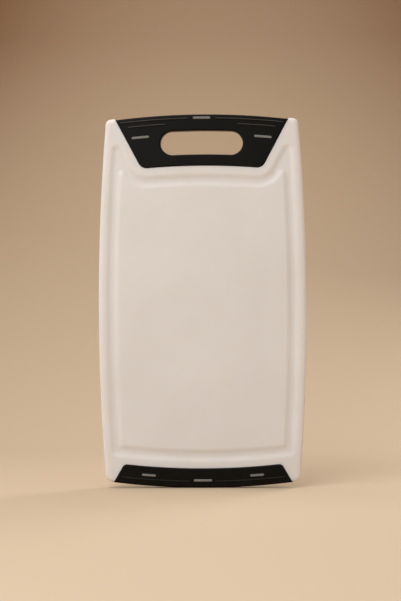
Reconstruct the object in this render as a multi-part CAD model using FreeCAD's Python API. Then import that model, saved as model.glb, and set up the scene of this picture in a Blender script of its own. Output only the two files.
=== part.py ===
import FreeCAD, Part
import math
import os

# A reversible cutting board with two soft grips moulded onto its ends, in millimetres.
#
# Frame: the board stands on the middle of its bowed lower edge. +X is to the right for someone
# facing the cutting side, +Y runs from the cutting side to the rear, +Z runs up to the hand slot.
# The origin is at mid-thickness on the lowest line of the lower edge.
#
# Outlines are worked out in the XZ plane, where a point is the complex number x + z*1j.

# ---- Board plate ----
board_height = 405.0
board_width = 225.6  # across the widest point of the bowed sides
board_thickness = 10.0
widest_height = 197.0  # where the sides are widest
side_radius = 2400.0
upper_edge_radius = 787.0
lower_edge_radius = 787.0
upper_corner_radius = 6.0
lower_corner_radius = 8.5
plate_edge_round = 2.8
bare_corner_rise = 1.4  # how far the plate's upper corners stand outside the grip's edge line

# ---- Grips: soft skins that wrap an end of the plate, front, edge and rear ----
grip_proud = 0.6  # how far a grip's faces stand above the plate's faces
grip_edge_round = 2.2
skin_depth = 1.6  # how deep the plate is rebated under a grip
edge_wrap = 2.5  # how thick the skin is over the end of the plate
bevel_width = 1.5  # the sloping border of a grip's faces, measured along the face
bevel_height = 0.5

upper_grip_depth = 56.1  # from the upper edge down to the grip's lower border
upper_side_angle = 27.9  # how far the side borders lean from upright, in degrees
upper_bare_corner = 10.5  # width of the bare plate corner beside the grip's tip
upper_border_radius = 10.0

lower_grip_depth = 21.1  # from the lower edge up to the grip's upper border
lower_side_angle = 30.0
lower_bare_corner = 8.5
lower_border_radius = 5.4

# ---- Hand slot ----
slot_depth = 17.6  # from the upper edge down to the slot
slot_height = 26.0
beside_slot = 33.8  # grip left between the slot's end and the side border
slot_liner = 2.0
slot_edge_round = 1.8

# ---- Holes in the plate that the moulded skin fills, which lock it on ----
lock_hole_diameter = 5.0
upper_lock_pitch = 24.0
above_slot_lock_count = 6
below_slot_lock_count = 4
lower_lock_pitch = 32.0
lower_lock_count = 5

# ---- Juice groove round the cutting face ----
groove_side_margin = 10.2  # from the plate's side edge to the middle of the outer wall
groove_upper_margin = 10.7  # from the upper grip to the middle of the outer wall
groove_lower_margin = 9.6  # from the lower grip to the middle of the outer wall
groove_width = 8.4  # between the middles of its walls
groove_wall_run = 4.4  # how far a wall's slope runs across the face
groove_depth = 1.6
groove_outer_corner_radius = 4.0  # at the middle of the outer wall
groove_inner_corner_radius = 3.0  # at the middle of the inner wall
groove_wall_steps = 6

# ---- Raised ribs on the grips ----
rib_width = 2.2
rib_crest_width = 0.9
rib_height = 0.45
rib_root = 0.3  # how far a rib reaches into its grip
outer_rib_depth = 4.6  # from the upper edge to the ribs' centre line
outer_rib_pad_gap = 6.0
outer_rib_border_gap = 4.0
inner_rib_depth = 10.2
inner_rib_border_gap = 9.5
inner_rib_length = 39.0
lower_rib_depth = 6.6
lower_rib_pad_gap = 5.0
lower_rib_border_gap = 5.5

# ---- Grey pads, each seated in its own pocket ----
pad_pocket_depth = 1.0
pad_proud = 0.5
pad_bevel = 0.25
pad_clearance = 0.05  # round the pad's sides
upper_centre_pad_length = 19.2
upper_centre_pad_width = 2.6
upper_centre_pad_depth = 3.9  # from the board's upper edge to the pad's centre line
upper_side_pad_length = 19.0
upper_side_pad_width = 2.6
upper_side_pad_depth = 22.0
upper_side_pad_border_gap = 6.8
lower_centre_pad_length = 20.0
lower_centre_pad_width = 2.5
lower_centre_pad_depth = 8.1
lower_side_pad_length = 15.0
lower_side_pad_width = 2.5
lower_side_pad_depth = 11.6
lower_side_pad_border_gap = 24.5

# ---- Worked out from the values above ----
half_plate = board_thickness / 2
half_core = half_plate - skin_depth
half_grip = half_plate + grip_proud
board_middle = complex(0, board_height / 2)
overshoot = 4.0  # how far a cutting block runs past what it cuts

FRONT = -1
REAR = 1
SMOOTH = None  # in place of a corner radius, where one run passes smoothly into the next


# ---- Plane geometry ----
def dot(a, b):
    return (a.conjugate() * b).real


def unit(a):
    return a / abs(a)


def mirrored(a):
    return complex(-a.real, a.imag)


class Straight:
    """A straight run of an outline, with the outline's inside on the left of its heading."""

    def __init__(self, point, heading):
        self.point = point
        self.heading = unit(heading)

    def inset(self, distance):
        return Straight(self.point + 1j * self.heading * distance, self.heading)

    def flipped(self):
        return Straight(self.point, -self.heading)

    def mirror(self):
        return Straight(mirrored(self.point), -mirrored(self.heading))

    def nearest(self, point):
        return self.point + self.heading * dot(self.heading, point - self.point)

    def edge(self, start, end):
        return (start, end)


class Round:
    """A circular run of an outline; inside is 1 where the centre is on the outline's inside, or -1."""

    def __init__(self, centre, radius, inside=1):
        self.centre = centre
        self.radius = radius
        self.inside = inside

    def inset(self, distance):
        return Round(self.centre, self.radius - self.inside * distance, self.inside)

    def flipped(self):
        return Round(self.centre, self.radius, -self.inside)

    def mirror(self):
        return Round(mirrored(self.centre), self.radius, self.inside)

    def nearest(self, point):
        return self.centre + unit(point - self.centre) * self.radius

    def edge(self, start, end):
        outwards = unit(start - self.centre) + unit(end - self.centre)
        return (start, self.centre + unit(outwards) * self.radius, end)


def crossing(a, b):
    """Where two runs cross; of two such points, the one on the board."""
    if isinstance(a, Straight) and isinstance(b, Straight):
        across = 1j * b.heading
        return a.point + a.heading * dot(across, b.point - a.point) / dot(across, a.heading)
    if isinstance(b, Straight):
        a, b = b, a
    if isinstance(a, Straight):
        middle = a.nearest(b.centre)
        reach = a.heading * math.sqrt(b.radius**2 - abs(middle - b.centre) ** 2)
    else:
        apart = b.centre - a.centre
        along = (a.radius**2 - b.radius**2 + abs(apart) ** 2) / (2 * abs(apart))
        middle = a.centre + unit(apart) * along
        reach = 1j * unit(apart) * math.sqrt(a.radius**2 - along**2)
    return min(middle + reach, middle - reach, key=lambda point: abs(point - board_middle))


def corner_centre(a, b, radius):
    """The centre of the corner between two runs; where the joint is smooth, the joint itself."""
    if radius is SMOOTH:
        smaller, larger = sorted((a, b), key=lambda run: run.radius)
        return larger.nearest(smaller.centre)
    return crossing(a.inset(radius), b.inset(radius))


def outline(runs, radii, inset=0.0):
    """The edges of a closed outline that follows the runs in turn, anticlockwise.

    radii holds the corner between each run and the next: above 0 where the outline turns left,
    below 0 where it turns right, 0 where it is sharp, or SMOOTH. An inset outline keeps the
    centres of its rounded corners.
    """
    runs = [run.inset(inset) for run in runs]
    radii = [radius - inset if radius else radius for radius in radii]
    followers = runs[1:] + runs[:1]
    centres = [corner_centre(a, b, radius) for a, b, radius in zip(runs, followers, radii)]
    edges = []
    for here, run in enumerate(runs):
        start = run.nearest(centres[here - 1])
        end = run.nearest(centres[here])
        edges.append(run.edge(start, end))
        if radii[here]:
            corner = Round(centres[here], abs(radii[here]))
            edges.append(corner.edge(end, followers[here].nearest(centres[here])))
    return edges


def bar(centre, start, end, half_width):
    """The edges of a bar with round ends, whose centre line is an arc about centre."""
    radius = abs(start - centre)
    edges = []
    for side, first, last in ((1, start, end), (-1, end, start)):
        line = Round(centre, radius + side * half_width)
        opposite = Round(centre, radius - side * half_width)
        ahead = 1j * unit(last - centre)
        if dot(ahead, last - first) < 0:
            ahead = -ahead
        edges.append(line.edge(line.nearest(first), line.nearest(last)))
        edges.append((line.nearest(last), last + ahead * half_width, opposite.nearest(last)))
    return edges


# ---- Solids from outlines ----
def wire(edges, y):
    made = []
    for points in edges:
        places = [FreeCAD.Vector(point.real, y, point.imag) for point in points]
        curve = Part.Arc(*places) if len(places) == 3 else Part.LineSegment(*places)
        made.append(curve.toShape())
    return Part.Wire(made)


def layer(edges, y_from, y_to):
    face = Part.Face(wire(edges, y_from))
    return face.extrude(FreeCAD.Vector(0, y_to - y_from, 0))


def block(edges, half_thickness):
    """A flat block of an outline, centred on mid-thickness."""
    return layer(edges, -half_thickness, half_thickness)


def slope(edges_from, y_from, edges_to, y_to):
    """A solid whose walls slope from one outline to another."""
    return Part.makeLoft([wire(edges_from, y_from), wire(edges_to, y_to)], True, True)


def one_solid(shape):
    """The only solid of a boolean result, with faces that continue each other merged."""
    solids = shape.removeSplitter().Solids
    if len(solids) != 1:
        raise ValueError(f"expected one solid, found {len(solids)}")
    return solids[0]


# ---- The plate's outline ----
right_side = Round(complex(board_width / 2 - side_radius, widest_height), side_radius)
upper_edge = Round(complex(0, board_height - upper_edge_radius), upper_edge_radius)
lower_edge = Round(complex(0, lower_edge_radius), lower_edge_radius)


def rounded_slab(half_thickness, edge_round, rise=0.0):
    """The board's whole outline as a slab, with every edge of its two faces rounded.

    rise carries its upper edge further up.
    """
    runs = [lower_edge, right_side, upper_edge.inset(-rise), right_side.mirror()]
    lower, upper = lower_corner_radius, upper_corner_radius
    slab = block(outline(runs, [lower, upper, upper, lower]), half_thickness)
    rims = [edge for edge in slab.Edges if abs(edge.CenterOfMass.y) > half_thickness - 0.01]
    return slab.makeFillet(edge_round, rims)


# ---- The grips' borders ----
class End:
    """One end of the board: places on it are given by their depth inside the end's bowed edge."""

    def __init__(self, edge, up, grip_depth, bare_corner, side_angle, border_radius):
        self.edge = edge
        self.up = up  # 1 at the upper end and -1 at the lower end
        self.border_radius = border_radius
        self.border = edge.inset(grip_depth)
        tip = self.at(0, crossing(edge, right_side).real - bare_corner)
        lean = math.radians(side_angle)
        self.right_border = Straight(tip, complex(-math.sin(lean), -up * math.cos(lean)))

    def at(self, depth, x):
        radius = self.edge.radius - depth
        return self.edge.centre + complex(x, self.up * math.sqrt(radius**2 - x**2))

    def border_x(self, depth):
        """How far from the middle the grip's side border is."""
        return crossing(self.edge.inset(depth), self.right_border).real

    def bar(self, depth, x_from, x_to, width):
        """A bar along the bowed edge, whose round ends are centred at x_from and x_to."""
        return bar(self.edge.centre, self.at(depth, x_from), self.at(depth, x_to), width / 2)


upper_end = End(
    upper_edge, 1, upper_grip_depth, upper_bare_corner, upper_side_angle, upper_border_radius
)
lower_end = End(
    lower_edge, -1, lower_grip_depth, lower_bare_corner, lower_side_angle, lower_border_radius
)


def grip_region(end, inset=0.0):
    """The grip's border, carried past the plate's bowed edge."""
    side = end.right_border.flipped() if end.up > 0 else end.right_border.mirror()
    runs = [end.border.flipped(), side, end.edge.inset(-overshoot), side.mirror()]
    return outline(runs, [end.border_radius, 0, 0, end.border_radius], inset)


def bevelled_region(end):
    """The grip's whole region as a block with sloping borders on both faces."""
    shoulder = half_grip - bevel_height
    middle = block(grip_region(end), shoulder)
    faces = [
        slope(grip_region(end), side * shoulder, grip_region(end, bevel_width), side * half_grip)
        for side in (FRONT, REAR)
    ]
    return middle.fuse(faces)


# ---- The hand slot ----
slot_middle_depth = slot_depth + slot_height / 2
slot_end_x = upper_end.border_x(slot_middle_depth) - beside_slot
slot_cap_x = slot_end_x - slot_height / 2


def slot(half_thickness, liner=0.0):
    edges = upper_end.bar(slot_middle_depth, -slot_cap_x, slot_cap_x, slot_height + 2 * liner)
    return block(edges, half_thickness)


# ---- The plate's core under the grips ----
def lock_row(end, depth, pitch, count):
    return [end.at(depth, (place - (count - 1) / 2) * pitch) for place in range(count)]


def lock_holes():
    above_slot = (edge_wrap + slot_depth - slot_liner) / 2
    below_slot = (slot_depth + slot_height + slot_liner + upper_grip_depth) / 2
    across_lower = (edge_wrap + lower_grip_depth) / 2
    beside_x = (slot_end_x + slot_liner + upper_end.border_x(slot_middle_depth)) / 2
    places = lock_row(upper_end, above_slot, upper_lock_pitch, above_slot_lock_count)
    places += lock_row(upper_end, below_slot, upper_lock_pitch, below_slot_lock_count)
    places += [upper_end.at(slot_middle_depth, x) for x in (-beside_x, beside_x)]
    places += lock_row(lower_end, across_lower, lower_lock_pitch, lower_lock_count)
    along = FreeCAD.Vector(0, 1, 0)
    length = 2 * half_core + 2 * overshoot
    radius = lock_hole_diameter / 2
    return [
        Part.makeCylinder(radius, length, FreeCAD.Vector(p.real, -length / 2, p.imag), along)
        for p in places
    ]


def plate_core():
    """What is left of the plate under the skins. Beyond the grips it is only a cutting shape."""
    runs = [
        lower_edge.inset(edge_wrap),
        right_side.inset(-overshoot),
        upper_edge.inset(edge_wrap),
        right_side.inset(-overshoot).mirror(),
    ]
    core = block(outline(runs, [0, 0, 0, 0]), half_core)
    return core.cut([slot(half_core + overshoot, slot_liner)] + lock_holes())


# ---- The juice groove ----
def groove_wall(offset, corner, y, inset):
    """The wire at one level of a groove wall, whose middle lies offset inside the outer wall's.

    Below each of the upper grip's lower corners the wall bends about the same centre as the grip's
    border. The inner wall's bend is so wide that it takes up the whole of the slanting run.
    """
    margin = groove_upper_margin + offset
    lower = lower_end.border.inset(groove_lower_margin + offset)
    right = right_side.inset(groove_side_margin + offset)
    slanting = upper_end.right_border.inset(margin)
    upper = upper_end.border.inset(margin)
    bend = -(upper_border_radius + margin)
    bend_centre = corner_centre(slanting, upper, bend)
    room = dot(slanting.heading, bend_centre - corner_centre(right, slanting, corner))
    if room > 0:
        runs = [lower, right, slanting, upper, slanting.mirror(), right.mirror()]
        radii = [corner, corner, bend, bend, corner, corner]
    else:
        bent = Round(bend_centre, abs(bend), -1)
        runs = [lower, right, bent, upper, bent.mirror(), right.mirror()]
        radii = [corner, corner, SMOOTH, SMOOTH, corner, corner]
    return wire(outline(runs, radii, inset), y)


def groove_levels(offset, corner, way):
    """The wires down a groove wall, which falls in an S curve from the face to the floor.

    way is 1 where they shrink towards the floor and -1 where they grow.
    """
    levels = []
    for step in range(groove_wall_steps + 1):
        share = step / groove_wall_steps
        fall = groove_depth * (1 - math.cos(math.pi * share)) / 2
        inset = way * groove_wall_run * (share - 0.5)
        levels.append(groove_wall(offset, corner, FRONT * half_plate + fall, inset))
    return levels


def groove():
    """The groove's space: an outer and an inner wall, closed by a ring at the face and at the floor."""
    outer = groove_levels(0.0, groove_outer_corner_radius, 1)
    inner = groove_levels(groove_width, groove_inner_corner_radius, -1)
    faces = Part.makeLoft(outer, False, False).Faces + Part.makeLoft(inner, False, False).Faces
    for around, within in ((outer[0], inner[0]), (outer[-1], inner[-1])):
        faces.append(Part.makeFace([around, within], "Part::FaceMakerBullseye"))
    shell = Part.makeShell(faces)
    shell.sewShape()
    return Part.makeSolid(shell)


# ---- Pads and ribs ----
class Pad:
    """A bar-shaped pad on one end, centred at x; its sizes are the same on both faces."""

    def __init__(self, end, x, depth, length, width):
        self.end = end
        self.depth = depth
        self.width = width
        self.ends = (x - (length - width) / 2, x + (length - width) / 2)

    def outline(self, extra=0.0):
        return self.end.bar(self.depth, *self.ends, self.width + 2 * extra)

    def pocket(self, side):
        floor = side * (half_grip - pad_pocket_depth)
        return layer(self.outline(pad_clearance), floor, side * (half_grip + overshoot))

    def solid(self, side):
        floor = side * (half_grip - pad_pocket_depth)
        shoulder = side * (half_grip + pad_proud - pad_bevel)
        top = side * (half_grip + pad_proud)
        body = layer(self.outline(), floor, shoulder)
        return body.fuse(slope(self.outline(), shoulder, self.outline(-pad_bevel), top))


def pad_set(end, centre, side, border_gap):
    """The three pads of one face; centre and side are each a depth, a length and a width."""
    depth, length, _ = side
    side_x = end.border_x(depth) - border_gap - length / 2
    return {
        "left": Pad(end, -side_x, *side),
        "centre": Pad(end, 0.0, *centre),
        "right": Pad(end, side_x, *side),
    }


upper_pads = pad_set(
    upper_end,
    (upper_centre_pad_depth, upper_centre_pad_length, upper_centre_pad_width),
    (upper_side_pad_depth, upper_side_pad_length, upper_side_pad_width),
    upper_side_pad_border_gap,
)
lower_pads = pad_set(
    lower_end,
    (lower_centre_pad_depth, lower_centre_pad_length, lower_centre_pad_width),
    (lower_side_pad_depth, lower_side_pad_length, lower_side_pad_width),
    lower_side_pad_border_gap,
)


def rib_pair(end, depth, x_from, x_to):
    """Two ribs, mirror images of each other, on both faces of a grip."""
    ribs = []
    for mirror in (-1, 1):
        foot = end.bar(depth, mirror * x_from, mirror * x_to, rib_width)
        crest = end.bar(depth, mirror * x_from, mirror * x_to, rib_crest_width)
        for side in (FRONT, REAR):
            face = side * half_grip
            ribs.append(layer(foot, side * (half_grip - rib_root), face))
            ribs.append(slope(foot, face, crest, side * (half_grip + rib_height)))
    return ribs


def upper_ribs():
    outer_to = upper_end.border_x(outer_rib_depth) - outer_rib_border_gap
    outer_from = upper_centre_pad_length / 2 + outer_rib_pad_gap
    inner_to = upper_end.border_x(inner_rib_depth) - inner_rib_border_gap
    inner_from = inner_to - inner_rib_length
    outer = rib_pair(upper_end, outer_rib_depth, outer_from, outer_to)
    return outer + rib_pair(upper_end, inner_rib_depth, inner_from, inner_to)


def lower_ribs():
    outer_to = lower_end.border_x(lower_rib_depth) - lower_rib_border_gap
    outer_from = lower_centre_pad_length / 2 + lower_rib_pad_gap
    return rib_pair(lower_end, lower_rib_depth, outer_from, outer_to)


# ---- The pieces ----
def round_slot_rims(grip):
    """Rounds the rims of the hand slot, the only edges that end so near the middle."""
    rims = [
        edge
        for edge in grip.Edges
        if abs(edge.CenterOfMass.y) > half_grip - 0.01
        and all(abs(vertex.X) < slot_end_x + 0.1 for vertex in edge.Vertexes)
    ]
    return grip.makeFillet(slot_edge_round, rims)


def make_board_body(core):
    skins = [
        block(grip_region(end), half_plate + overshoot).cut(core) for end in (upper_end, lower_end)
    ]
    slab = rounded_slab(half_plate, plate_edge_round, bare_corner_rise)
    return slab.cut(skins + [groove()])


def make_upper_grip(core):
    whole = rounded_slab(half_grip, grip_edge_round).common(bevelled_region(upper_end))
    grip = round_slot_rims(one_solid(whole.cut(slot(half_grip + overshoot))))
    pockets = [pad.pocket(side) for pad in upper_pads.values() for side in (FRONT, REAR)]
    return grip.cut([core] + pockets).fuse(upper_ribs())


def make_lower_grip(core):
    grip = rounded_slab(half_grip, grip_edge_round).common(bevelled_region(lower_end))
    pockets = [pad.pocket(side) for pad in lower_pads.values() for side in (FRONT, REAR)]
    return grip.cut([core] + pockets).fuse(lower_ribs())


def make_nodes():
    core = plate_core()
    nodes = {
        "board_body": make_board_body(core),
        "upper_grip": make_upper_grip(core),
        "lower_grip": make_lower_grip(core),
    }
    for end_name, pads in (("upper", upper_pads), ("lower", lower_pads)):
        for face_name, side in (("front", FRONT), ("rear", REAR)):
            for place, pad in pads.items():
                nodes[f"{end_name}_{face_name}_pad_{place}"] = pad.solid(side)
    return nodes


os.makedirs("parts", exist_ok=True)
for node, shape in make_nodes().items():
    one_solid(shape).exportStep(f"parts/{node}.step")
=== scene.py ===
"""A cutting board with a juice groove and two soft grips, standing in a small tan studio.

The file is laid out as a Blender add-on and is run as a script. Everything is in metres, in the
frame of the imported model: +X to the right, +Y from the cutting side to the rear, +Z up, with the
origin on the lowest line of the board. Outlines are worked out in the XZ plane, where a point is
the complex number x + z*1j.
"""

import bmesh
import bpy
import numpy as np
from bpy.props import FloatProperty, FloatVectorProperty, PointerProperty
from bpy.types import Operator, Panel, PropertyGroup
from mathutils import Matrix, Vector


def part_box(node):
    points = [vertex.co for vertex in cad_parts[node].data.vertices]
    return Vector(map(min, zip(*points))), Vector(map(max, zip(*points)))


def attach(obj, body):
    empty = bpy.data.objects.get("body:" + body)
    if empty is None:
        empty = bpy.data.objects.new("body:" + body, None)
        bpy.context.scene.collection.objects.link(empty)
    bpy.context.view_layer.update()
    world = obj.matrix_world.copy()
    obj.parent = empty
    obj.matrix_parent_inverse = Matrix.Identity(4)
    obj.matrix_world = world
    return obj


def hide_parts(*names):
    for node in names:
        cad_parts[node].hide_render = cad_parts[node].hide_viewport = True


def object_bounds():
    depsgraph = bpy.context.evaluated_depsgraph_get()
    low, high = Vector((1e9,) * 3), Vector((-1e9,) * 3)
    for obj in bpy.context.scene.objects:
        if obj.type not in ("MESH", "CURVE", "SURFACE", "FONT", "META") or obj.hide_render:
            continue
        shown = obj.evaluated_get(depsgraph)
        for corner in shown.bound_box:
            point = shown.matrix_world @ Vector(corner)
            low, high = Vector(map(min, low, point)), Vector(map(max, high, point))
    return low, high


bl_info = {
    "name": "Cutting board with soft grips",
    "version": (1, 0, 0),
    "blender": (4, 5, 0),
    "location": "View3D > Sidebar > Cutting board",
    "description": "Makes a cutting board with two soft grips, and the studio it stands in",
    "category": "Object",
}

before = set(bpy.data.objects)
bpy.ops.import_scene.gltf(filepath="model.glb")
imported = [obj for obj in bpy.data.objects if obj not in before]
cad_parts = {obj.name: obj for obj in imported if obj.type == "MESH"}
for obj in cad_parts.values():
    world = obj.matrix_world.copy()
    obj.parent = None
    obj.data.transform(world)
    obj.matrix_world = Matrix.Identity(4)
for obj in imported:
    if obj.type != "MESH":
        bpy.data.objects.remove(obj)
cad_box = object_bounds()

FRONT = -1
REAR = 1
FACES = (("front", FRONT), ("rear", REAR))
BOARD_BOTTOM = float(cad_box[0][2])
BOARD_HEIGHT = float(cad_box[1][2]) - BOARD_BOTTOM
BOARD_MIDDLE = complex(0, BOARD_BOTTOM + BOARD_HEIGHT / 2)
PLATE_THICKNESS = 2 * float(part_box("board_body")[1][1])


# ---- Sizes and colours that a user would change ----
def length(name, description, default):
    """A size in metres."""
    return FloatProperty(
        name=name, description=description, default=default, min=0.0, precision=5, unit="LENGTH"
    )


def slant(name, description, degrees):
    """An angle, given here in degrees."""
    angle = float(np.radians(degrees))
    return FloatProperty(
        name=name, description=description, default=angle, subtype="ANGLE", unit="ROTATION"
    )


def colour(name, description, default):
    """A linear colour."""
    return FloatVectorProperty(
        name=name,
        description=description,
        default=default,
        min=0.0,
        max=1.0,
        size=3,
        subtype="COLOR",
    )


def amount(name, description, default, high=10.0):
    """A plain number."""
    return FloatProperty(name=name, description=description, default=default, min=0.0, max=high)


class PlateSizes(PropertyGroup):
    """The white plate and its juice groove."""

    width: length("Width", "Across the widest point of the bowed sides", 0.2256)
    widest: length("Widest height", "Height at which the sides are widest", 0.197)
    side_radius: length("Side radius", "Radius of the bowed sides", 2.4)
    end_radius: length("End radius", "Radius of the bowed upper and lower edges", 0.787)
    upper_corner: length("Upper corners", "Radius of the upper corners", 0.006)
    lower_corner: length("Lower corners", "Radius of the lower corners", 0.0085)
    edge_round: length("Edge rounding", "How far the rounded edges fall from a face", 0.0028)
    edge_run: length("Edge run", "How far the rounded edges run across a face", 0.0052)
    rise: length("Corner rise", "How far the upper corners stand outside the grip's edge", 0.0014)
    tip: length("Corner tip", "Radius where the upper corners drop to the grip's edge", 0.002)
    side_margin: length("Side margin", "From the side edge to the groove's outer wall", 0.0102)
    upper_margin: length("Upper margin", "From the upper grip to the groove's outer wall", 0.0107)
    lower_margin: length("Lower margin", "From the lower grip to the groove's outer wall", 0.0096)
    groove_width: length("Groove width", "Between the middles of the groove's walls", 0.0084)
    groove_depth: length("Groove depth", "From the face down to the groove's floor", 0.0016)
    wall_run: length("Wall run", "How far a groove wall's slope runs across the face", 0.0072)
    outer_corner: length("Outer wall corners", "Radius at the middle of the outer wall", 0.004)
    inner_corner: length("Inner wall corners", "Radius at the middle of the inner wall", 0.003)


class GripSizes(PropertyGroup):
    """The two soft grips, their ribs and the hand slot."""

    proud: length("Height", "How far a grip's faces stand above the plate's faces", 0.0006)
    edge_round: length("Edge rounding", "Radius of the edges along the board's ends", 0.0022)
    bevel_width: length("Bevel width", "Width of the sloping border", 0.0015)
    bevel_height: length("Bevel height", "Height of the sloping border", 0.0005)
    upper_depth: length("Upper depth", "From the upper edge down to the border", 0.0561)
    upper_bare: length("Upper bare corner", "Width of the bare plate beside the upper grip", 0.0105)
    upper_lean: slant("Upper side lean", "How far the upper grip's sides lean from upright", 27.9)
    upper_border: length("Upper border radius", "Radius of the upper grip's corners", 0.010)
    lower_depth: length("Lower depth", "From the lower edge up to the border", 0.0211)
    lower_bare: length("Lower bare corner", "Width of the bare plate beside the lower grip", 0.0085)
    lower_lean: slant("Lower side lean", "How far the lower grip's sides lean from upright", 30.0)
    lower_border: length("Lower border radius", "Radius of the lower grip's corners", 0.0054)
    slot_depth: length("Slot depth", "From the upper edge down to the hand slot", 0.0176)
    slot_height: length("Slot height", "Height of the hand slot", 0.026)
    beside_slot: length("Beside the slot", "From the slot's end to the grip's border", 0.0338)
    slot_round: length("Slot rounding", "Radius of the hand slot's rims", 0.0018)
    rib_width: length("Rib width", "Width of a rib at its foot", 0.0022)
    rib_height: length("Rib height", "How far a rib stands above the grip", 0.00045)


class BarSizes(PropertyGroup):
    """Where the ribs and pads lie; depths are from the bowed edge to a bar's middle line."""

    proud: length("Pad height", "How far a pad stands above its grip", 0.0005)
    root: length("Pad root", "How deep a pad is set into its grip", 0.001)
    soft: length("Pad edge", "Radius of a pad's edges", 0.0006)
    upper_pad: length("Upper pad width", "Width of the upper pads", 0.0026)
    lower_pad: length("Lower pad width", "Width of the lower pads", 0.0025)
    upper_centre: length("Upper middle pad depth", "Depth of the upper grip's middle pad", 0.0039)
    upper_side: length("Upper side pad depth", "Depth of the upper grip's side pads", 0.022)
    lower_centre: length("Lower middle pad depth", "Depth of the lower grip's middle pad", 0.0081)
    lower_side: length("Lower side pad depth", "Depth of the lower grip's side pads", 0.0116)
    outer_rib: length("Outer rib depth", "Depth of the upper grip's outer ribs", 0.0046)
    outer_gap: length("Outer rib gap", "Between the middle pad and an outer rib", 0.006)
    outer_end: length("Outer rib end", "From an outer rib's end to the border", 0.004)
    inner_rib: length("Inner rib depth", "Depth of the upper grip's inner ribs", 0.0102)
    inner_end: length("Inner rib end", "From an inner rib's end to the border", 0.0095)
    inner_length: length("Inner rib length", "Between the middles of an inner rib's ends", 0.039)
    lower_rib: length("Lower rib depth", "Depth of the lower grip's ribs", 0.0066)
    lower_gap: length("Lower rib gap", "Between the middle pad and a lower rib", 0.005)
    lower_end: length("Lower rib end", "From a lower rib's end to the border", 0.0055)


class Finishes(PropertyGroup):
    """Colours and surface qualities."""

    plate: colour("Plate", "Colour of the plate", (0.697, 0.662, 0.642))
    plate_shade: colour("Plate shade", "Colour of the plate's faint clouds", (0.64, 0.60, 0.565))
    grip: colour("Grip", "Colour of the grips", (0.0025, 0.0017, 0.0006))
    # Painted highlights: the colours painted on the ribs' upward flanks, dimmer on the lower grip
    # where less light falls.
    upper_crest: colour("Upper ribs", "Colour of the upper ribs' crests", (0.045, 0.042, 0.036))
    lower_crest: colour("Lower ribs", "Colour of the lower ribs' crests", (0.014, 0.013, 0.010))
    pad: colour("Pad", "Colour of the pads", (0.175, 0.168, 0.158))
    backdrop_low: colour("Backdrop, low", "Colour of the floor", (0.66, 0.515, 0.365))
    # A painted shade: the dark colour that the backdrop is painted towards its top.
    backdrop_painted_shade: colour("Backdrop, high", "Colour of the backdrop's top", (0.135, 0.043, 0.004))
    plate_grain: amount("Plate grain", "Strength of the plate's moulded grain", 0.16, 1.0)
    grip_grain: amount("Grip grain", "Strength of the grips' fine grain", 0.3, 1.0)


class Studio(PropertyGroup):
    """The camera and the lamps."""

    lens: FloatProperty(
        name="Lens", description="Focal length", default=85.0, min=10.0, unit="CAMERA"
    )
    distance: length("Distance", "From the camera to the point it aims at", 1.5424)
    azimuth: slant("Azimuth", "How far the camera stands round to the right", 1.69)
    elevation: slant("Elevation", "How far the camera looks down", -0.94)
    roll: slant("Roll", "How far the camera leans", -0.235)
    aim_x: FloatProperty(
        name="Aim X", description="X of the point aimed at", default=-0.0021, unit="LENGTH"
    )
    aim_z: FloatProperty(
        name="Aim Z", description="Height of the point aimed at", default=0.2027, unit="LENGTH"
    )
    key: amount("Key", "Power of the large lamp at the upper left", 26.5, 500.0)
    fill: amount("Fill", "Power of the lamp at the right", 0.6, 500.0)
    back: amount("Back", "Power of the lamp behind the board", 9.0, 500.0)
    top: amount("Top", "Power of the lamp overhead", 9.0, 500.0)
    world: amount("Surroundings", "Strength of the light from all round", 0.42)


# ---- Plane geometry ----
def dot(a, b):
    return (np.conj(a) * b).real


def unit(a):
    return a / abs(a)


def mirrored(a):
    """A point or direction with its X turned round."""
    return -np.conj(a)


class Straight:
    """A straight run of an outline, with the outline's inside on the left of its heading."""

    def __init__(self, point, heading):
        self.point = point
        self.heading = unit(heading)

    def inset(self, distance):
        return Straight(self.point + 1j * self.heading * distance, self.heading)

    def flipped(self):
        return Straight(self.point, -self.heading)

    def nearest(self, point):
        return self.point + self.heading * dot(self.heading, point - self.point)

    def depth(self, points):
        """How far inside the run each point lies."""
        return dot(1j * self.heading, points - self.point)

    def stretch(self, start, end):
        return (start, end, None)


class Round:
    """A circular run of an outline; inside is 1 where its centre is on the inside, or -1."""

    def __init__(self, centre, radius, inside=1):
        self.centre = centre
        self.radius = radius
        self.inside = inside

    def inset(self, distance):
        return Round(self.centre, self.radius - self.inside * distance, self.inside)

    def flipped(self):
        return Round(self.centre, self.radius, -self.inside)

    def nearest(self, point):
        return self.centre + unit(point - self.centre) * self.radius

    def depth(self, points):
        """How far inside the run each point lies."""
        return self.inside * (self.radius - abs(points - self.centre))

    def stretch(self, start, end):
        return (start, end, self.centre)


def crossing(a, b):
    """Where two runs cross; of two such points, the one nearer the board's middle."""
    if isinstance(a, Straight) and isinstance(b, Straight):
        across = 1j * b.heading
        return a.point + a.heading * dot(across, b.point - a.point) / dot(across, a.heading)
    if isinstance(b, Straight):
        a, b = b, a
    if isinstance(a, Straight):
        middle = a.nearest(b.centre)
        reach = a.heading * np.sqrt(b.radius**2 - abs(middle - b.centre) ** 2)
    else:
        apart = b.centre - a.centre
        along = (a.radius**2 - b.radius**2 + abs(apart) ** 2) / (2 * abs(apart))
        middle = a.centre + unit(apart) * along
        reach = 1j * unit(apart) * np.sqrt(a.radius**2 - along**2)
    return min(middle + reach, middle - reach, key=lambda point: abs(point - BOARD_MIDDLE))


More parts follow.
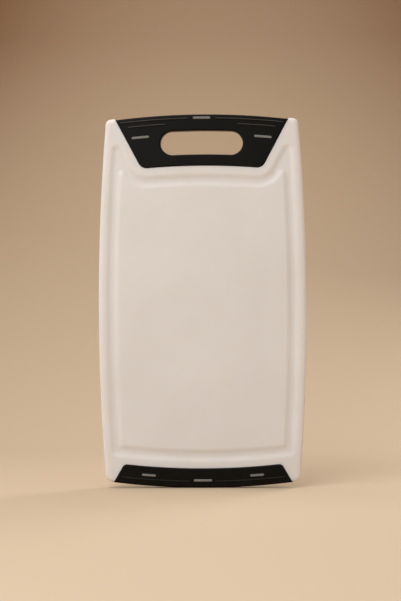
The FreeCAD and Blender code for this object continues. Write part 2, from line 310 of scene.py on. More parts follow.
def half_outline(runs, radii):
    """The stretches of the right half of an outline, from its lowest middle to its highest.

    radii holds the corner between each run and the next: above 0 where the outline turns left,
    below 0 where it turns right, and 0 where it is sharp.
    """
    stretches = []
    start = runs[0].nearest(BOARD_MIDDLE)
    for run, follower, radius in zip(runs, runs[1:], radii):
        centre = crossing(run.inset(radius), follower.inset(radius))
        end = run.nearest(centre)
        stretches.append(run.stretch(start, end))
        start = follower.nearest(centre)
        if radius:
            stretches.append((end, start, centre))
    stretches.append(runs[-1].stretch(start, runs[-1].nearest(BOARD_MIDDLE)))
    return stretches


def traced(stretches, counts):
    """Points along stretches as one array, closer together towards the ends of each stretch.

    A straight stretch is start + (end - start) * s, and a round one is its start turned about its
    centre by s times its whole turn, where s = (1 - cos(pi * t)) / 2 and t runs evenly from 0 to 1.
    Each stretch leaves its last point to the next.
    """
    pieces = []
    for (start, end, centre), count in zip(stretches, counts):
        share = (1 - np.cos(np.pi * np.arange(count) / count)) / 2
        if centre is None:
            pieces.append(start + (end - start) * share)
        else:
            turn = np.angle((end - centre) / (start - centre))
            pieces.append(centre + (start - centre) * np.exp(1j * turn * share))
    pieces.append(np.array([stretches[-1][1]]))
    return np.concatenate(pieces)


def whole_loop(half):
    """A closed loop from its right half: the half, then its mirror image back to the start."""
    return np.concatenate([half, mirrored(half[-2:0:-1])])


# ---- The board's own lines ----
class BoardLines:
    """The runs that the plate, the groove, the grips and the slot are all drawn from."""

    def __init__(self, plate, grip):
        self.plate = plate
        self.grip = grip
        half_width = plate.width / 2
        self.right = Round(complex(half_width - plate.side_radius, plate.widest), plate.side_radius)
        top = BOARD_BOTTOM + BOARD_HEIGHT
        self.upper = Round(complex(0, top - plate.end_radius), plate.end_radius)
        self.lower = Round(complex(0, BOARD_BOTTOM + plate.end_radius), plate.end_radius)
        self.upper_side = self.side(self.upper, 1, grip.upper_bare, grip.upper_lean)
        self.lower_side = self.side(self.lower, -1, grip.lower_bare, grip.lower_lean)
        self.upper_border = self.upper.inset(grip.upper_depth)
        self.lower_border = self.lower.inset(grip.lower_depth)
        self.half_plate = PLATE_THICKNESS / 2
        self.half_grip = self.half_plate + grip.proud

    def at(self, edge, depth, x):
        """The point at that x and that depth inside a bowed edge."""
        up = -1 if edge is self.lower else 1
        return edge.centre + complex(x, up * np.sqrt((edge.radius - depth) ** 2 - x**2))

    def side(self, edge, up, bare, lean):
        """The right side border of a grip, with the plate's bare corner on its left."""
        tip_x = crossing(edge, self.right).real - bare
        tip = edge.centre + complex(tip_x, up * np.sqrt(edge.radius**2 - tip_x**2))
        return Straight(tip, complex(-np.sin(lean), -up * np.cos(lean)))

    def border_x(self, edge, depth):
        """How far from the middle a grip's side border is, at that depth."""
        side = self.lower_side if edge is self.lower else self.upper_side
        return crossing(edge.inset(depth), side).real


def lines_of(context):
    """The board's lines at the sizes that the scene holds."""
    return BoardLines(context.scene.plate_sizes, context.scene.grip_sizes)


# ---- Meshes from rings ----
MERGE_DISTANCE = 1e-7
SHORTEST_EDGE = 1e-8
CREASE_DEGREES = 32.0


def placed(loop, y):
    """A loop of complex points as XYZ rows, all at y or each at its own y."""
    return np.stack([loop.real, np.broadcast_to(y, loop.shape), loop.imag], axis=-1)


def ring_faces(rows, columns, wrap):
    """Quads that join each ring to the next, and the last to the first where wrap is set."""
    row = np.arange(rows if wrap else rows - 1)[:, None] * columns
    column = np.arange(columns)[None, :]
    after = (column + 1) % columns
    below = (row + columns) % (rows * columns)
    corners = [row + column, row + after, below + after, below + column]
    return np.stack(np.broadcast_arrays(*corners), axis=-1).reshape(-1, 4)


def fan_faces(row, columns, pole):
    """Triangles from one ring to a pole."""
    column = np.arange(columns)
    after = (column + 1) % columns
    start = row * columns
    return np.stack([start + column, start + after, np.full(columns, pole)], axis=-1)


def shell(rings, poles=None, wrap=False):
    """The points of a closed surface of rings, and its faces as one array for each kind of face.

    Its two parameters are the place along a ring and the ring's number. It is closed by a pole at
    each end, by joining its last ring to its first, or else by a flat face at each end.
    """
    rings = np.stack(rings)
    rows, columns = rings.shape[:2]
    points = rings.reshape(-1, 3)
    faces = [ring_faces(rows, columns, wrap)]
    if poles is not None:
        points = np.concatenate([points, np.array(poles, float)])
        faces.append(fan_faces(0, columns, rows * columns))
        faces.append(fan_faces(rows - 1, columns, rows * columns + 1))
    elif not wrap:
        first = np.arange(columns)[None, :]
        faces += [first, first + (rows - 1) * columns]
    return points, faces


def in_scene(name, data):
    """A new object at the origin that shows a mesh, a lamp or a camera."""
    thing = bpy.data.objects.new(name, data)
    bpy.context.scene.collection.objects.link(thing)
    return thing


def object_from(name, shells):
    """One object from closed shells, with its faces turned outwards and its soft edges smooth."""
    faces = []
    start = 0
    for points, kinds in shells:
        for kind in kinds:
            faces += (kind + start).tolist()
        start += len(points)
    mesh = bpy.data.meshes.new(name)
    mesh.from_pydata(np.concatenate([points for points, _ in shells]).tolist(), [], faces)
    tidy = bmesh.new()
    tidy.from_mesh(mesh)
    bmesh.ops.remove_doubles(tidy, verts=tidy.verts, dist=MERGE_DISTANCE)
    bmesh.ops.dissolve_degenerate(tidy, edges=tidy.edges, dist=SHORTEST_EDGE)
    bmesh.ops.recalc_face_normals(tidy, faces=tidy.faces)
    tidy.to_mesh(mesh)
    tidy.free()
    mesh.shade_smooth()
    mesh.set_sharp_from_angle(angle=float(np.radians(CREASE_DEGREES)))
    return in_scene(name, mesh)


def finished(piece, material, slot, *nodes):
    """Gives a piece its material and its place on the board, and hides the CAD nodes that it stands
    for.
    """
    piece.data.materials.append(material)
    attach(piece, "root")
    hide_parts(*nodes)


def quarter_round(run, fall, steps):
    """Insets and drops of an edge rounded by a quarter ellipse, from its face out to its side.

    At angle a the inset is run * (1 - sin a) and the drop below the face is fall * (1 - cos a),
    with a from 0 at the face to 90 degrees at the side.
    """
    angle = np.linspace(0, np.pi / 2, steps + 1)
    return run * (1 - np.sin(angle)), fall * (1 - np.cos(angle))


# ---- The plate ----
# How many points each stretch of an outline gets, and how many rings each rounding or wall.
LOWER_COUNT = 30
LOWER_CORNER_COUNTS = (10, 8, 6, 12)
SIDE_COUNT = 44
UPPER_CORNER_COUNTS = (12, 6, 8)
SLANT_COUNT = 18
BEND_COUNT = 16
UPPER_COUNT = 28
EDGE_STEPS = 10
WALL_STEPS = 12
GUARD = 0.0003  # an extra ring this far out on a flat face keeps its shading flat
SMALLEST_RADIUS = 0.00005  # where an inset would take a corner's radius below nothing
POLE_SHARE = 0.3  # height of the middle point of the plate's faces, as a share of the board's


def plate_loop(lines, inset):
    """The plate's outline, inset from its free edges; its joints with the grips stay in place."""
    plate, grip = lines.plate, lines.grip
    runs = [
        lines.lower_border,
        lines.lower_side.flipped(),
        lines.lower.inset(inset),
        lines.right.inset(inset),
        lines.upper.inset(inset - plate.rise),
        lines.upper_side,
        lines.upper_border,
    ]
    lower_corner = plate.lower_corner - inset
    upper_corner = plate.upper_corner - inset
    tip = max(plate.tip - inset, SMALLEST_RADIUS)
    radii = [-grip.lower_border, 0, lower_corner, upper_corner, tip, -grip.upper_border]
    counts = [LOWER_COUNT, *LOWER_CORNER_COUNTS, SIDE_COUNT, *UPPER_CORNER_COUNTS]
    counts += [SLANT_COUNT, BEND_COUNT, UPPER_COUNT]
    return whole_loop(traced(half_outline(runs, radii), counts))


def groove_loop(lines, offset, corner, inset):
    """One level of a groove wall, whose middle lies offset inside the outer wall's middle.

    Below each of the upper grip's corners it bends about the same centre as the grip's border. The
    inner wall's bend is so wide that it takes up the whole of the slanting run.
    """
    plate, grip = lines.plate, lines.grip
    margin = plate.upper_margin + offset
    bend = grip.upper_border + margin
    slanting = lines.upper_side.inset(margin)
    upper = lines.upper_border.inset(margin)
    bend_centre = crossing(slanting.inset(-bend), upper.inset(-bend))
    right = lines.right.inset(plate.side_margin + offset)
    lower = lines.lower_border.inset(plate.lower_margin + offset)
    corner_centre = crossing(right.inset(corner), slanting.inset(corner))
    corner_count = sum(UPPER_CORNER_COUNTS)
    turn = max(corner - inset, SMALLEST_RADIUS)
    if dot(slanting.heading, bend_centre - corner_centre) > 0:
        runs = [run.inset(inset) for run in (lower, right, slanting, upper)]
        stretches = half_outline(runs, [turn, turn, -(bend + inset)])
        upper_counts = [corner_count, SLANT_COUNT, BEND_COUNT, UPPER_COUNT]
    else:
        bent = Round(bend_centre, bend, -1)
        runs = [run.inset(inset) for run in (lower, right, bent)]
        stretches = half_outline(runs, [turn, turn])
        upper = upper.inset(inset)
        joint = upper.nearest(bend_centre)
        start, _, centre = stretches[-1]
        stretches[-1] = (start, joint, centre)
        stretches.append(upper.stretch(joint, upper.nearest(BOARD_MIDDLE)))
        upper_counts = [corner_count + SLANT_COUNT, BEND_COUNT, UPPER_COUNT]
    counts = [LOWER_COUNT, sum(LOWER_CORNER_COUNTS), SIDE_COUNT, *upper_counts]
    return whole_loop(traced(stretches, counts))


def groove_rings(lines, offset, corner, way):
    """The rings down a groove wall, from the face to the floor.

    With s from 0 to 1 the wall runs wall_run * (s - 1/2) across the face while it falls by
    groove_depth * (1 - cos(pi * s)) / 2, which is an S curve. way is 1 for the outer wall and -1
    for the inner one.
    """
    plate = lines.plate
    share = np.linspace(0, 1, WALL_STEPS + 1)
    across = way * plate.wall_run * (share - 0.5)
    fall = plate.groove_depth * (1 - np.cos(np.pi * share)) / 2
    face = -lines.half_plate
    rings = [placed(groove_loop(lines, offset, corner, a), face + f) for a, f in zip(across, fall)]
    before = groove_loop(lines, offset, corner, across[0] - way * GUARD)
    after = groove_loop(lines, offset, corner, across[-1] + way * GUARD)
    return [placed(before, face), *rings, placed(after, face + fall[-1])]


def plate_shell(lines):
    """The plate from the middle of its front face, over the groove and the edge, to its back."""
    plate = lines.plate
    half = lines.half_plate
    pole_height = BOARD_BOTTOM + POLE_SHARE * BOARD_HEIGHT
    inner = groove_rings(lines, plate.groove_width, plate.inner_corner, -1)
    outer = groove_rings(lines, 0.0, plate.outer_corner, 1)
    rings = [*inner, *outer[::-1]]
    insets, drops = quarter_round(plate.edge_run, plate.edge_round, EDGE_STEPS)
    rings.append(placed(plate_loop(lines, insets[0] + GUARD), -half))
    rings += [placed(plate_loop(lines, i), -half + d) for i, d in zip(insets, drops)]
    rings += [placed(plate_loop(lines, i), half - d) for i, d in zip(insets[::-1], drops[::-1])]
    rings.append(placed(plate_loop(lines, insets[0] + GUARD), half))
    rings.append(placed(groove_loop(lines, 0.0, plate.outer_corner, 0.0), half))
    rings.append(placed(groove_loop(lines, plate.groove_width, plate.inner_corner, 0.0), half))
    return shell(rings, poles=[(0.0, -half, pole_height), (0.0, half, pole_height)])


# ---- The grips ----
GRIP_BORDER_COUNT = 30
GRIP_CORNER_COUNT = 14
GRIP_SIDE_COUNT = 26
GRIP_EDGE_COUNT = 48
RIM_INSETS = 10
RIM_CROWDING = 1.5  # above 1 it draws the rings of a grip's rim closer to its outline
SLOT_STEPS = 8


def grip_loop(lines, end, inset):
    """A grip's outline at one inset, and a mask of its points that lie on the board's edge."""
    grip = lines.grip
    if end == "upper":
        runs = [lines.upper_border.flipped(), lines.upper_side.flipped(), lines.upper]
        radii = [grip.upper_border - inset, 0]
        counts = [GRIP_BORDER_COUNT, GRIP_CORNER_COUNT, GRIP_SIDE_COUNT, GRIP_EDGE_COUNT]
        on_edge = np.arange(sum(counts) + 1) >= sum(counts[:3])
    else:
        runs = [lines.lower, lines.lower_side, lines.lower_border.flipped()]
        radii = [0, grip.lower_border - inset]
        counts = [GRIP_EDGE_COUNT, GRIP_SIDE_COUNT, GRIP_CORNER_COUNT, GRIP_BORDER_COUNT]
        on_edge = np.arange(sum(counts) + 1) <= counts[0]
    half = traced(half_outline([run.inset(inset) for run in runs], radii), counts)
    return whole_loop(half), np.concatenate([on_edge, on_edge[-2:0:-1]])


def grip_half_thickness(lines, end, loop, on_edge, inset):
    """How far the grip's skin stands from mid-thickness at each point of a loop.

    It is the lesser of two heights. From the border the bevel rises by bevel_height over
    bevel_width. From the board's edge the rounding drops by r - sqrt(r^2 - (r - d)^2), where d is
    the distance from the edge and r the radius of the rounding.
    """
    grip = lines.grip
    edge = lines.upper if end == "upper" else lines.lower
    side = lines.upper_side.flipped() if end == "upper" else lines.lower_side
    right_half = abs(loop.real) + 1j * loop.imag
    from_border = np.where(on_edge, side.depth(right_half), inset)
    rise = grip.bevel_height * np.clip(from_border / grip.bevel_width, 0, 1)
    missing = np.clip(grip.edge_round - edge.depth(loop), 0, grip.edge_round)
    drop = grip.edge_round - np.sqrt(grip.edge_round**2 - missing**2)
    return lines.half_grip - np.maximum(grip.bevel_height - rise, drop)


def grip_rings(lines, end, side):
    """The rings of a grip's face, from its outline inwards."""
    grip = lines.grip
    inner = max(grip.bevel_width, grip.edge_round)
    insets = np.linspace(0, 1, RIM_INSETS) ** RIM_CROWDING * inner
    insets = np.sort(np.append(insets, grip.bevel_width))
    rings = []
    for inset in [*insets, inner + GUARD]:
        loop, on_edge = grip_loop(lines, end, inset)
        thickness = grip_half_thickness(lines, end, loop, on_edge, inset)
        rings.append(placed(loop, side * thickness))
    return rings


def slot_loop(lines, extra):
    """The hand slot's outline, made larger all round by extra: two bowed sides and round ends."""
    grip = lines.grip
    middle_depth = grip.slot_depth + grip.slot_height / 2
    middle = lines.upper.inset(middle_depth)
    half_height = grip.slot_height / 2 + extra
    end_x = lines.border_x(lines.upper, middle_depth) - grip.beside_slot
    cap_centre = middle.centre + complex(end_x - grip.slot_height / 2, 0)
    cap_centre += 1j * np.sqrt(middle.radius**2 - cap_centre.real**2)
    under = middle.inset(half_height)
    above = middle.inset(-half_height)
    foot = under.nearest(cap_centre)
    head = above.nearest(cap_centre)
    tip = cap_centre + half_height * unit(head - foot) * -1j
    stretches = [
        under.stretch(under.nearest(BOARD_MIDDLE), foot),
        (foot, tip, cap_centre),
        (tip, head, cap_centre),
        above.stretch(head, above.nearest(BOARD_MIDDLE)),
    ]
    counts = [GRIP_BORDER_COUNT, GRIP_CORNER_COUNT, GRIP_SIDE_COUNT, GRIP_EDGE_COUNT]
    return whole_loop(traced(stretches, counts))


def slot_rings(lines, side):
    """The rings of one rim of the hand slot, from the face into the slot."""
    insets, drops = quarter_round(lines.grip.slot_round, lines.grip.slot_round, SLOT_STEPS)
    face = lines.half_grip
    rings = [placed(slot_loop(lines, insets[0] + GUARD), side * face)]
    return rings + [placed(slot_loop(lines, i), side * (face - d)) for i, d in zip(insets, drops)]


def upper_grip_shell(lines):
    """A ring-shaped skin: over the front face, through the hand slot and back over the rear."""
    front = grip_rings(lines, "upper", FRONT) + slot_rings(lines, FRONT)
    rear = grip_rings(lines, "upper", REAR) + slot_rings(lines, REAR)
    return shell(front + rear[::-1], wrap=True)


def lower_grip_shell(lines):
    """The front face, then round the lower edge, to the rear face."""
    front = grip_rings(lines, "lower", FRONT)
    rear = grip_rings(lines, "lower", REAR)
    middle = BOARD_BOTTOM + lines.grip.lower_depth / 2
    poles = [(0.0, REAR * lines.half_grip, middle), (0.0, FRONT * lines.half_grip, middle)]
    return shell(rear[::-1] + front, poles=poles)


# ---- Bars: ribs and pads ----
BAR_SIDE_COUNT = 20
BAR_CAP_COUNT = 10
RIB_RINGS = 9
RIB_CREST_DEGREES = 84
PAD_EDGE_STEPS = 6
PAD_TOP_INSET = 1.6  # of the pad's edge radius, to the ring that bounds its flat top


def bar_loop(centre, start, end, half_width):
    """The outline of a bar with round ends, whose middle line is an arc about centre."""
    at_start, at_end = (unit(point - centre) * half_width for point in (start, end))
    ahead = end + half_width * unit(end - start)
    behind = start - half_width * unit(end - start)
    stretches = [
        (start + at_start, end + at_end, centre),
        (end + at_end, ahead, end),
        (ahead, end - at_end, end),
        (end - at_end, start - at_start, centre),
        (start - at_start, behind, start),
        (behind, start + at_start, start),
    ]
    return traced(stretches, [BAR_SIDE_COUNT, BAR_CAP_COUNT, BAR_CAP_COUNT] * 2)[:-1]


def bar_shell(lines, edge, depth, ends, side, profile):
    """A bar on a grip's face. profile gives its half-widths and its heights above mid-thickness."""
    start, end = (lines.at(edge, depth, x) for x in ends)
    rings = [
        placed(bar_loop(edge.centre, start, end, half_width), side * height)
        for half_width, height in zip(*profile)
    ]
    return shell(rings)


def rib_profile(lines):
    """A low round ridge: at angle a its half-width is w * cos(a) and its height h * sin(a).

    It stops a little short of the ridge's top, which is left as a narrow flat.
    """
    grip = lines.grip
    angle = np.radians(np.linspace(0, RIB_CREST_DEGREES, RIB_RINGS))
    widths = grip.rib_width / 2 * np.cos(angle)
    heights = lines.half_grip + grip.rib_height * np.sin(angle)
    return np.append(widths[0], widths), np.append(lines.half_grip - grip.rib_height, heights)


def rib_shells(lines, bars, end):
    """Every rib of one grip: mirrored left to right and front to rear."""
    low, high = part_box(f"{end}_front_pad_centre")
    half_pad = (high[0] - low[0]) / 2
    if end == "upper":
        inner_to = lines.border_x(lines.upper, bars.inner_rib) - bars.inner_end
        outer_to = lines.border_x(lines.upper, bars.outer_rib) - bars.outer_end
        spans = [
            (bars.outer_rib, half_pad + bars.outer_gap, outer_to),
            (bars.inner_rib, inner_to - bars.inner_length, inner_to),
        ]
        edge = lines.upper
    else:
        outer_to = lines.border_x(lines.lower, bars.lower_rib) - bars.lower_end
        spans = [(bars.lower_rib, half_pad + bars.lower_gap, outer_to)]
        edge = lines.lower
    profile = rib_profile(lines)
    return [
        bar_shell(lines, edge, depth, (mirror * near, mirror * far), side, profile)
        for depth, near, far in spans
        for mirror in (-1, 1)
        for side in (FRONT, REAR)
    ]


def pad_place(lines, bars, end, place):
    """The edge that a pad follows, its depth, the x of its two end centres and its half-width."""
    edge = lines.upper if end == "upper" else lines.lower
    low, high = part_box(f"{end}_front_pad_{place}")
    half_width = getattr(bars, f"{end}_pad") / 2
    ends = (low[0] + half_width, high[0] - half_width)
    depth = getattr(bars, f"{end}_centre" if place == "centre" else f"{end}_side")
    return edge, depth, ends, half_width


def pad_shell(lines, bars, end, side, place):
    """A pad: a bar with a flat top whose edges are rounded by a quarter circle of radius soft."""
    edge, depth, ends, half_width = pad_place(lines, bars, end, place)
    insets, drops = quarter_round(bars.soft, bars.soft, PAD_EDGE_STEPS)
    top = lines.half_grip + bars.proud
    root = lines.half_grip - bars.root
    flat = half_width - PAD_TOP_INSET * bars.soft
    widths = np.concatenate([[half_width], half_width - insets[::-1], [flat]])
    heights = np.concatenate([[root], top - drops[::-1], [top]])
    return bar_shell(lines, edge, depth, ends, side, (widths, heights))


# ---- Shader expressions ----
class Socket:
    """A shader value that Python's operators work on; each operator adds its Math node."""

    def __init__(self, shader, socket):
        self.shader = shader
        self.socket = socket

    def worked(self, operation, *values):
        return self.shader.node("ShaderNodeMath", {"operation": operation}, dict(enumerate(values)))

    def __add__(self, other):
        return self.worked("ADD", self, other)

    def __radd__(self, other):
        return self.worked("ADD", other, self)

    def __sub__(self, other):
        return self.worked("SUBTRACT", self, other)

    def __rsub__(self, other):
        return self.worked("SUBTRACT", other, self)

    def __mul__(self, other):
        return self.worked("MULTIPLY", self, other)

    def __rmul__(self, other):
        return self.worked("MULTIPLY", other, self)

    def __abs__(self):
        return self.worked("ABSOLUTE", self)


class Shader:
    """One material's nodes."""

    def __init__(self, name):
        self.material = bpy.data.materials.new(name)
        self.material.use_nodes = True
        self.tree = self.material.node_tree
        self.surface = self.tree.nodes["Principled BSDF"]

    def node(self, kind, settings, values, output=0):
        """Adds a node: its settings first, then the values or links of its sockets."""
        made = self.tree.nodes.new(kind)
        for setting, value in settings.items():
            setattr(made, setting, value)
        for place, value in values.items():
            self.feed(made.inputs[place], value)
        return Socket(self, made.outputs[output])

    def feed(self, target, value):
        """Links a socket to a worked value, or sets it."""
        if isinstance(value, Socket):
            self.tree.links.new(value.socket, target)
        elif target.type == "RGBA":
            target.default_value = (*value, 1.0)
        else:
            target.default_value = value

    def place(self):
        """The point being shaded, in the object's own coordinates."""
        return self.node("ShaderNodeTexCoord", {}, {}, "Object")

    def along(self, axis):
        """One coordinate of the point being shaded: X, Y or Z."""
        return self.node("ShaderNodeSeparateXYZ", {}, {"Vector": self.place()}, axis)

    def facing_up(self):
        """How far the surface is turned upwards: 1 where it faces up, -1 where it faces down."""
        normal = self.node("ShaderNodeTexCoord", {}, {}, "Normal")
        return self.node("ShaderNodeSeparateXYZ", {}, {"Vector": normal}, "Z")

    def noise(self, size, detail=2.0, roughness=0.5):
        """Noise from 0 to 1 with cells about that many metres across."""
        values = {"Vector": self.place(), "Scale": 1 / size, "Detail": detail}
        values["Roughness"] = roughness
        return self.node("ShaderNodeTexNoise", {"noise_dimensions": "3D"}, values, 0)

    def cells(self, size):
        """The distance to the nearest of points scattered about that many metres apart."""
        values = {"Vector": self.place(), "Scale": 1 / size}
        return self.node("ShaderNodeTexVoronoi", {"feature": "F1"}, values, "Distance")

    def mix(self, share, first, second):
        """A colour between two colours; the Mix node's sockets for colours go by number."""
        values = {0: share, 6: first, 7: second}
        return self.node("ShaderNodeMix", {"data_type": "RGBA"}, values, 2)

    def between(self, value, low, high):
        """The share of the way from low to high, kept from 0 to 1."""
        values = {"Value": value, "From Min": low, "From Max": high}
        return self.node("ShaderNodeMapRange", {"clamp": True}, values, 0)

    def bump(self, height, depth, strength):
        """A bump whose height from 0 to 1 stands for that many metres."""
        values = {"Height": height, "Distance": depth, "Strength": strength}
        self.feed(self.surface.inputs["Normal"], self.node("ShaderNodeBump", {}, values, "Normal"))

    def set(self, **values):
        """Sets or links inputs of the surface, given with _ in place of spaces."""
        for name, value in values.items():
            self.feed(self.surface.inputs[name.replace("_", " ")], value)


# Sizes of the patterns in the materials and depths of the grains, in metres.
CLOUD_SIZE = 0.09
SPECK_SIZE = 0.0012
PEBBLE_SIZE = 0.0009
GRIT_SIZE = 0.0005
PEBBLE_DEPTH = 0.00012
SMEAR_SIZE = 0.02
FINE_SMEAR_SIZE = 0.0015
DUST_SIZE = 0.03
SPARK_SIZE = 0.0007
SPARK_GRIT_SIZE = 0.0006
SPARK_DEPTH = 0.00015
GRIP_SMEAR_SIZE = 0.015
TOOTH_SIZE = 0.004
TOOTH_DEPTH = 0.0002

SEEPING = 0.008  # how far light seeps through the plate, for red, green and blue in these shares
SEEPING_SHARES = (1.0, 0.8, 0.6)
HIGHLIGHT_FROM = 0.0001  # heights above a grip's face between which its ribs take on the painted highlight
HIGHLIGHT_TO = 0.0003
HIGHLIGHT_FACING_FROM = -0.1  # how far up a rib's flank has to face before it takes on the painted highlight
HIGHLIGHT_FACING_TO = 0.25
DUST_LIFT = 0.003  # how much dust adds to a grip's colour
DUST_SHOWS_THROUGH = 0.95  # the share of a grip's own colour that still shows under dust


def plate_material(finishes):
    """Off-white moulded polyethylene: faint clouds, a fine pebbled grain and a soft sheen."""
    shader = Shader("plate polyethylene")
    cloudy = shader.noise(CLOUD_SIZE, detail=3.0, roughness=0.55)
    clouds = shader.between(cloudy, low=0.35, high=0.7)
    specks = shader.between(shader.noise(SPECK_SIZE, detail=1.0), low=0.62, high=0.8)
    shade = 0.55 * clouds + 0.25 * specks
    grain = 0.6 * shader.cells(PEBBLE_SIZE) + 0.4 * shader.noise(GRIT_SIZE)
    smears = shader.noise(SMEAR_SIZE, detail=3.0)
    fine_smears = shader.noise(FINE_SMEAR_SIZE, detail=1.0)
    shader.set(
        Base_Color=shader.mix(shade, tuple(finishes.plate), tuple(finishes.plate_shade)),
        Roughness=0.40 + 0.10 * smears + 0.05 * fine_smears,
        IOR=1.5,
        Specular_IOR_Level=0.35,
        Subsurface_Weight=0.6,
        Subsurface_Radius=SEEPING_SHARES,
        Subsurface_Scale=SEEPING,
    )
    shader.bump(grain, PEBBLE_DEPTH, finishes.plate_grain)
    return shader.material


def elastomer_material(name, base, rib_highlight, face, grain_strength):
    """Matt moulded elastomer: a fine spark-eroded grain, a little dust and uneven sheen.

    face is the grip's half-thickness. What stands out beyond it, and doesn't face down, is painted
    in the lighter rib colour: a painted highlight for light caught by the ribs' upper flanks.
    """
    shader = Shader(name)
    # Painted highlight: what stands out from the face and turns upwards is painted in the lighter
    # rib colour.
    standing = shader.between(abs(shader.along("Y")), face + HIGHLIGHT_FROM, face + HIGHLIGHT_TO)
    painted_highlight = standing * shader.between(shader.facing_up(), HIGHLIGHT_FACING_FROM, HIGHLIGHT_FACING_TO)
    dusty = shader.noise(DUST_SIZE, detail=4.0, roughness=0.6)
    dust = 0.5 * shader.between(dusty, low=0.45, high=0.8)
    dusty_colour = tuple(DUST_SHOWS_THROUGH * channel + DUST_LIFT for channel in base)
    skin = shader.mix(dust, tuple(base), dusty_colour)
    grit = shader.noise(SPARK_GRIT_SIZE)
    grain = 0.5 * shader.cells(SPARK_SIZE) + 0.5 * grit
    smears = shader.noise(GRIP_SMEAR_SIZE, detail=3.0)
    shader.set(
        Base_Color=shader.mix(painted_highlight, skin, tuple(rib_highlight)),
        Roughness=0.34 + 0.08 * smears + 0.08 * grit,
        Specular_IOR_Level=0.11,
    )
    shader.bump(grain, SPARK_DEPTH, grain_strength)
    return shader.material


# ---- The studio ----
SWEEP_REACH = 3.0
WALL_Y = 1.3
WALL_TOP = 2.2
BEND_RADIUS = 0.9
SWEEP_BEND_COUNT = 40
DARKENS_FROM = -0.10  # heights between which painted shade darkens the backdrop
DARKENS_TO = 0.75
# A painted glow: painted light that keeps the backdrop lighter round its middle.
GLOW_HEIGHT = 0.45
GLOW_REACH_SQUARED = 0.4  # in square metres; the glow is gone that far from its middle
GLOW_FLATNESS = 0.6
GLOW_STRENGTH = 0.55
TOOTH_CONTRAST = 0.03
TOOTH_STRENGTH = 0.2
SENSOR_WIDTH = 36.0


def sweep_material(finishes):
    """Matt tan paper with a faint tooth, in painted shade towards its top except round a painted
    glow.
    """
    shader = Shader("tan paper")
    across = shader.along("X")
    height = shader.along("Z")
    above = height - GLOW_HEIGHT
    away_squared = across * across + GLOW_FLATNESS * above * above
    glow = shader.between(away_squared, GLOW_REACH_SQUARED, 0.0)
    up = shader.between(height, DARKENS_FROM, DARKENS_TO)
    tooth = shader.noise(TOOTH_SIZE, detail=3.0)
    # painted shade towards the top, lifted round the painted glow, plus the paper's tooth
    shade = up + TOOTH_CONTRAST * (tooth - 0.5) - GLOW_STRENGTH * glow * up
    shader.set(
        Base_Color=shader.mix(shade, tuple(finishes.backdrop_low), tuple(finishes.backdrop_painted_shade)),
        Roughness=0.85,
        Specular_IOR_Level=0.1,
    )
    shader.bump(tooth, TOOTH_DEPTH, TOOTH_STRENGTH)
    return shader.material


def make_sweep(finishes):
    """The floor and backdrop as one sheet: a floor, a quarter circle and a wall, all along X."""
    angle = np.linspace(0, np.pi / 2, SWEEP_BEND_COUNT)
    bend_y = WALL_Y - BEND_RADIUS + BEND_RADIUS * np.sin(angle)
    bend_z = BEND_RADIUS * (1 - np.cos(angle))
    y = np.concatenate([[-SWEEP_REACH], bend_y, [WALL_Y]])
    z = np.concatenate([[0.0], bend_z, [WALL_TOP]]) + BOARD_BOTTOM
    x = np.array([-SWEEP_REACH, SWEEP_REACH])
    points = np.stack(np.broadcast_arrays(x[None, :], y[:, None], z[:, None]), axis=-1)
    row = np.arange(len(y) - 1) * 2
    faces = np.stack([row, row + 1, row + 3, row + 2], axis=-1)
    mesh = bpy.data.meshes.new("sweep")
    mesh.from_pydata(points.reshape(-1, 3).tolist(), [], faces.tolist())
    mesh.shade_smooth()
    mesh.materials.append(sweep_material(finishes))
    in_scene("sweep", mesh)


def make_lamp(name, power, size, shade, place, aim):
    """A square soft lamp at a place, turned to the point that it is aimed at."""
    light = bpy.data.lights.new(name, "AREA")
    light.energy = power
    light.size = size
    light.color = shade
    lamp = in_scene(name, light)
    lamp.location = place
    lamp.rotation_mode = "QUATERNION"
    lamp.rotation_quaternion = (Vector(aim) - Vector(place)).to_track_quat("-Z", "Y")


def make_lamps(scene, studio):
    """A large soft key at the upper left, weak lamps round it and even light from all round."""
    middle = (0.0, 0.0, BOARD_MIDDLE.imag)
    make_lamp(
        "key", studio.key, size=1.6, shade=(0.93, 0.97, 1.0), place=(-0.8, -1.28, 1.15), aim=middle
    )
    make_lamp(
        "fill", studio.fill, size=0.8, shade=(1.0, 0.92, 0.82), place=(1.2, -1.2, 0.6), aim=middle
    )
    make_lamp(
        "back",
        studio.back,
        size=0.7,
        shade=(0.95, 0.98, 1.0),
        place=(0.85, 0.8, 0.85),
        aim=(0.55, -1.0, 0.4),
    )
    make_lamp(
        "top",
        studio.top,
        size=1.0,
        shade=(1.0, 0.97, 0.93),
        place=(-0.25, 0.15, 1.7),
        aim=(0.0, 0.15, 0.0),
    )
    world = bpy.data.worlds.new("studio")
    world.use_nodes = True
    background = world.node_tree.nodes["Background"]
    background.inputs["Color"].default_value = (1.0, 0.925, 0.83, 1.0)
    background.inputs["Strength"].default_value = studio.world
    scene.world = world


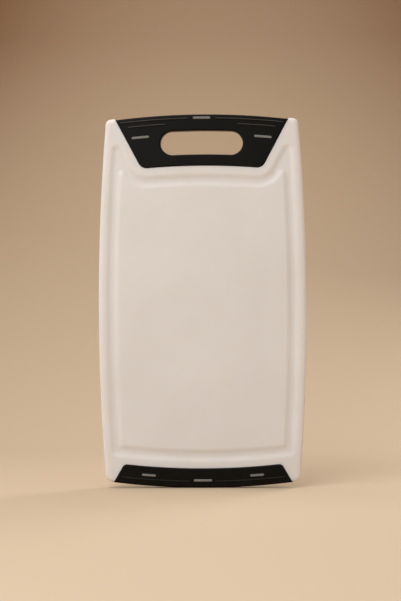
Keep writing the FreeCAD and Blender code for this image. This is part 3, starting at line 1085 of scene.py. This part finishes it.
def make_camera(scene, studio):
    """The camera, from its azimuth and elevation about the point it aims at."""
    round_by, down_by, roll = studio.azimuth, studio.elevation, studio.roll
    level = Vector((np.cos(round_by), np.sin(round_by), 0.0))
    inwards = Vector((-np.sin(round_by), np.cos(round_by), 0.0))
    forward = inwards * np.cos(down_by) - Vector((0.0, 0.0, np.sin(down_by)))
    upright = level.cross(forward)
    right = level * np.cos(roll) + upright * np.sin(roll)
    up = upright * np.cos(roll) - level * np.sin(roll)
    camera = bpy.data.cameras.new("camera")
    camera.lens = studio.lens
    camera.sensor_width = SENSOR_WIDTH
    camera.dof.use_dof = False
    holder = in_scene("camera", camera)
    place = Vector((studio.aim_x, 0.0, studio.aim_z)) - forward * studio.distance
    turned = Matrix((right, up, -forward)).transposed()
    holder.matrix_world = Matrix.Translation(place) @ turned.to_4x4()
    scene.camera = holder


# ---- Operators ----
class BOARD_OT_plate(Operator):
    """Makes the white plate with its juice groove"""

    bl_idname = "cutting_board.plate"
    bl_label = "Plate"

    def execute(self, context):
        lines = lines_of(context)
        material = plate_material(context.scene.board_finishes)
        finished(object_from("plate", [plate_shell(lines)]), material, "plate", "board_body")
        return {"FINISHED"}


class BOARD_OT_grips(Operator):
    """Makes the two soft grips with their ribs"""

    bl_idname = "cutting_board.grips"
    bl_label = "Grips"

    def execute(self, context):
        finishes = context.scene.board_finishes
        lines = lines_of(context)
        bars = context.scene.bar_sizes
        for end, skin in (("upper", upper_grip_shell), ("lower", lower_grip_shell)):
            # the colour of the painted highlight on this grip's ribs
            rib_highlight = getattr(finishes, f"{end}_crest")
            material = elastomer_material(
                f"{end} grip elastomer", finishes.grip, rib_highlight, lines.half_grip, finishes.grip_grain
            )
            grip = object_from(f"{end}_soft_grip", [skin(lines), *rib_shells(lines, bars, end)])
            finished(grip, material, "grip", f"{end}_grip")
        return {"FINISHED"}


class BOARD_OT_pads(Operator):
    """Makes the twelve grey pads"""

    bl_idname = "cutting_board.pads"
    bl_label = "Pads"

    def execute(self, context):
        finishes = context.scene.board_finishes
        lines = lines_of(context)
        bars = context.scene.bar_sizes
        material = elastomer_material(
            "pad elastomer", finishes.pad, finishes.pad, lines.half_grip, finishes.grip_grain
        )
        for end in ("upper", "lower"):
            for face, side in FACES:
                for place in ("left", "centre", "right"):
                    name = f"{end}_{face}_pad_{place}"
                    pad = object_from(f"{name}_bar", [pad_shell(lines, bars, end, side, place)])
                    finished(pad, material, "pad", name)
        return {"FINISHED"}


class BOARD_OT_studio(Operator):
    """Makes the sweep that the board stands on, the lamps and the camera"""

    bl_idname = "cutting_board.studio"
    bl_label = "Studio"

    def execute(self, context):
        scene = context.scene
        make_sweep(scene.board_finishes)
        make_lamps(scene, scene.board_studio)
        make_camera(scene, scene.board_studio)
        scene.view_settings.view_transform = "Standard"
        return {"FINISHED"}


class BOARD_PT_panel(Panel):
    """Lists the operators in the sidebar"""

    bl_idname = "BOARD_PT_panel"
    bl_label = "Cutting board"
    bl_space_type = "VIEW_3D"
    bl_region_type = "UI"
    bl_category = "Cutting board"

    def draw(self, context):
        for operator in OPERATORS:
            self.layout.operator(operator.bl_idname)


OPERATORS = (BOARD_OT_plate, BOARD_OT_grips, BOARD_OT_pads, BOARD_OT_studio)
GROUPS = {
    "plate_sizes": PlateSizes,
    "grip_sizes": GripSizes,
    "bar_sizes": BarSizes,
    "board_finishes": Finishes,
    "board_studio": Studio,
}
CLASSES = (*GROUPS.values(), *OPERATORS, BOARD_PT_panel)


def register():
    for made in CLASSES:
        bpy.utils.register_class(made)
    for name, group in GROUPS.items():
        setattr(bpy.types.Scene, name, PointerProperty(type=group))


def unregister():
    for name in GROUPS:
        delattr(bpy.types.Scene, name)
    for made in reversed(CLASSES):
        bpy.utils.unregister_class(made)


def main():
    register()
    for operator in OPERATORS:
        place, name = operator.bl_idname.split(".")
        getattr(getattr(bpy.ops, place), name)()


if __name__ == "__main__":
    main()
